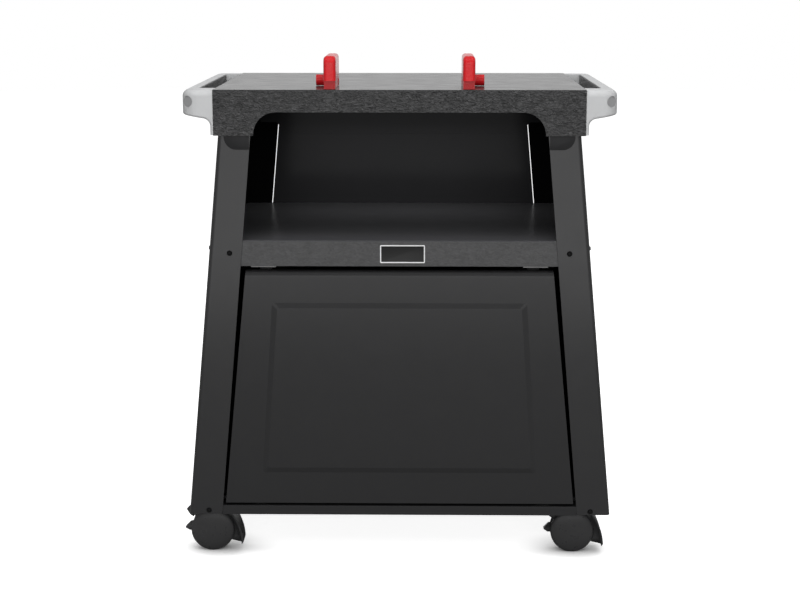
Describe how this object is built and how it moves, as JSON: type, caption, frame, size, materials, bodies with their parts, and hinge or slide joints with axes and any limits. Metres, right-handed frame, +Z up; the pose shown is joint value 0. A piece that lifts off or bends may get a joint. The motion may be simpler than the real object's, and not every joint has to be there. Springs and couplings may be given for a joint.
{
  "type": "grill cart with storage",
  "caption": "Wheeled outdoor cart for a tabletop grill: folded top on splayed legs, open shelf, drop-down door cabinet, side handles and red grill latches.",
  "frame": {"origin": "on the floor under the casters, midway between the four caster stems", "axes": "+Z up, -Y towards the front with the door, +X towards the right-hand handle seen from the front"},
  "size_m": [0.7348, 0.483, 0.8587],
  "materials": {
    "smooth_coat": "smooth satin powder coat, dark grey",
    "hammered_coat": "hammered powder coat, near black",
    "silver_plastic": "satin, silver-grey",
    "plug_plastic": "satin, mid grey",
    "red_plastic": "glossy, bright red",
    "caster_plastic": "satin, black",
    "zinc_steel": "zinc plated",
    "black_screw": "black, semi-gloss",
    "catch_plastic": "matte, light grey"
  },
  "bodies": {
    "cart": {"table_top": "smooth_coat", "front_apron": "hammered_coat", "rear_apron": "hammered_coat", "left_apron": "hammered_coat", "right_apron": "hammered_coat", "back_panel": "hammered_coat", "storage_shelf": "hammered_coat", "floor_panel": "hammered_coat", "front_rail": "hammered_coat", "rear_rail": "hammered_coat", "door_hinge_brackets": "smooth_coat", "door_hinge_pins": "black_screw", "door_catches": "catch_plastic", "handle_plugs": "plug_plastic", "frame_screws": "black_screw", "floor_screws": "black_screw", "handle_screws": "black_screw", "caster_nuts": "zinc_steel", "left_side_panel": "hammered_coat", "left_handle": "silver_plastic", "left_handle_liner": "hammered_coat", "left_lever_lug": "smooth_coat", "left_lever_pin": "zinc_steel", "right_side_panel": "hammered_coat", "right_handle": "silver_plastic", "right_handle_liner": "hammered_coat", "right_lever_lug": "smooth_coat", "right_lever_pin": "zinc_steel", "front_left_leg": "smooth_coat", "front_left_stem": "zinc_steel", "front_right_leg": "smooth_coat", "front_right_stem": "zinc_steel", "rear_left_leg": "smooth_coat", "rear_left_stem": "zinc_steel", "rear_right_leg": "smooth_coat", "rear_right_stem": "zinc_steel"},
    "door": {"door_panel": "smooth_coat"},
    "left_lever": {"left_lever": "red_plastic"},
    "right_lever": {"right_lever": "red_plastic"},
    "front_left_caster": {"front_left_hood": "caster_plastic", "front_left_axle": "zinc_steel", "front_left_pedal_pin": "zinc_steel"},
    "front_left_outer_wheel": {"front_left_outer_wheel": "caster_plastic"},
    "front_left_inner_wheel": {"front_left_inner_wheel": "caster_plastic"},
    "front_left_brake": {"front_left_brake_pedal": "caster_plastic"},
    "front_right_caster": {"front_right_hood": "caster_plastic", "front_right_axle": "zinc_steel", "front_right_pedal_pin": "zinc_steel"},
    "front_right_outer_wheel": {"front_right_outer_wheel": "caster_plastic"},
    "front_right_inner_wheel": {"front_right_inner_wheel": "caster_plastic"},
    "front_right_brake": {"front_right_brake_pedal": "caster_plastic"},
    "rear_left_caster": {"rear_left_hood": "caster_plastic", "rear_left_axle": "zinc_steel"},
    "rear_left_outer_wheel": {"rear_left_outer_wheel": "caster_plastic"},
    "rear_left_inner_wheel": {"rear_left_inner_wheel": "caster_plastic"},
    "rear_right_caster": {"rear_right_hood": "caster_plastic", "rear_right_axle": "zinc_steel"},
    "rear_right_outer_wheel": {"rear_right_outer_wheel": "caster_plastic"},
    "rear_right_inner_wheel": {"rear_right_inner_wheel": "caster_plastic"}
  },
  "joints": [
    {"name": "door_hinge", "type": "hinge", "parent": "cart", "child": "door", "pos_m": [0, -0.229, 0.1095], "axis": [1, 0, 0], "range_deg": [0, 90]},
    {"name": "left_lever_hinge", "type": "hinge", "parent": "cart", "child": "left_lever", "pos_m": [-0.11365, -0.136, 0.8143], "axis": [-1, 0, 0], "range_deg": [0, 90]},
    {"name": "right_lever_hinge", "type": "hinge", "parent": "cart", "child": "right_lever", "pos_m": [0.11365, -0.136, 0.8143], "axis": [-1, 0, 0], "range_deg": [0, 90]},
    {"name": "front_left_swivel", "type": "hinge", "parent": "cart", "child": "front_left_caster", "pos_m": [-0.3132, -0.1745, 0.075], "axis": [0, 0, 1], "continuous": true},
    {"name": "front_left_outer_wheel_spin", "type": "hinge", "parent": "front_left_caster", "child": "front_left_outer_wheel", "pos_m": [-0.3266, -0.1745, 0.0375], "axis": [0, 1, 0], "continuous": true},
    {"name": "front_left_inner_wheel_spin", "type": "hinge", "parent": "front_left_caster", "child": "front_left_inner_wheel", "pos_m": [-0.3266, -0.1745, 0.0375], "axis": [0, 1, 0], "continuous": true},
    {"name": "front_left_brake_hinge", "type": "hinge", "parent": "front_left_caster", "child": "front_left_brake", "pos_m": [-0.3476, -0.1745, 0.0585], "axis": [0, -1, 0], "range_deg": [0, 12]},
    {"name": "front_right_swivel", "type": "hinge", "parent": "cart", "child": "front_right_caster", "pos_m": [0.3132, -0.1745, 0.075], "axis": [0, 0, 1], "continuous": true},
    {"name": "front_right_outer_wheel_spin", "type": "hinge", "parent": "front_right_caster", "child": "front_right_outer_wheel", "pos_m": [0.2998, -0.1745, 0.0375], "axis": [0, 1, 0], "continuous": true},
    {"name": "front_right_inner_wheel_spin", "type": "hinge", "parent": "front_right_caster", "child": "front_right_inner_wheel", "pos_m": [0.2998, -0.1745, 0.0375], "axis": [0, 1, 0], "continuous": true},
    {"name": "front_right_brake_hinge", "type": "hinge", "parent": "front_right_caster", "child": "front_right_brake", "pos_m": [0.2788, -0.1745, 0.0585], "axis": [0, -1, 0], "range_deg": [0, 12]},
    {"name": "rear_left_swivel", "type": "hinge", "parent": "cart", "child": "rear_left_caster", "pos_m": [-0.3132, 0.1745, 0.075], "axis": [0, 0, 1], "continuous": true},
    {"name": "rear_left_outer_wheel_spin", "type": "hinge", "parent": "rear_left_caster", "child": "rear_left_outer_wheel", "pos_m": [-0.3266, 0.1745, 0.0375], "axis": [0, 1, 0], "continuous": true},
    {"name": "rear_left_inner_wheel_spin", "type": "hinge", "parent": "rear_left_caster", "child": "rear_left_inner_wheel", "pos_m": [-0.3266, 0.1745, 0.0375], "axis": [0, 1, 0], "continuous": true},
    {"name": "rear_right_swivel", "type": "hinge", "parent": "cart", "child": "rear_right_caster", "pos_m": [0.3132, 0.1745, 0.075], "axis": [0, 0, 1], "continuous": true},
    {"name": "rear_right_outer_wheel_spin", "type": "hinge", "parent": "rear_right_caster", "child": "rear_right_outer_wheel", "pos_m": [0.2998, 0.1745, 0.0375], "axis": [0, 1, 0], "continuous": true},
    {"name": "rear_right_inner_wheel_spin", "type": "hinge", "parent": "rear_right_caster", "child": "rear_right_inner_wheel", "pos_m": [0.2998, 0.1745, 0.0375], "axis": [0, 1, 0], "continuous": true}
  ]
}
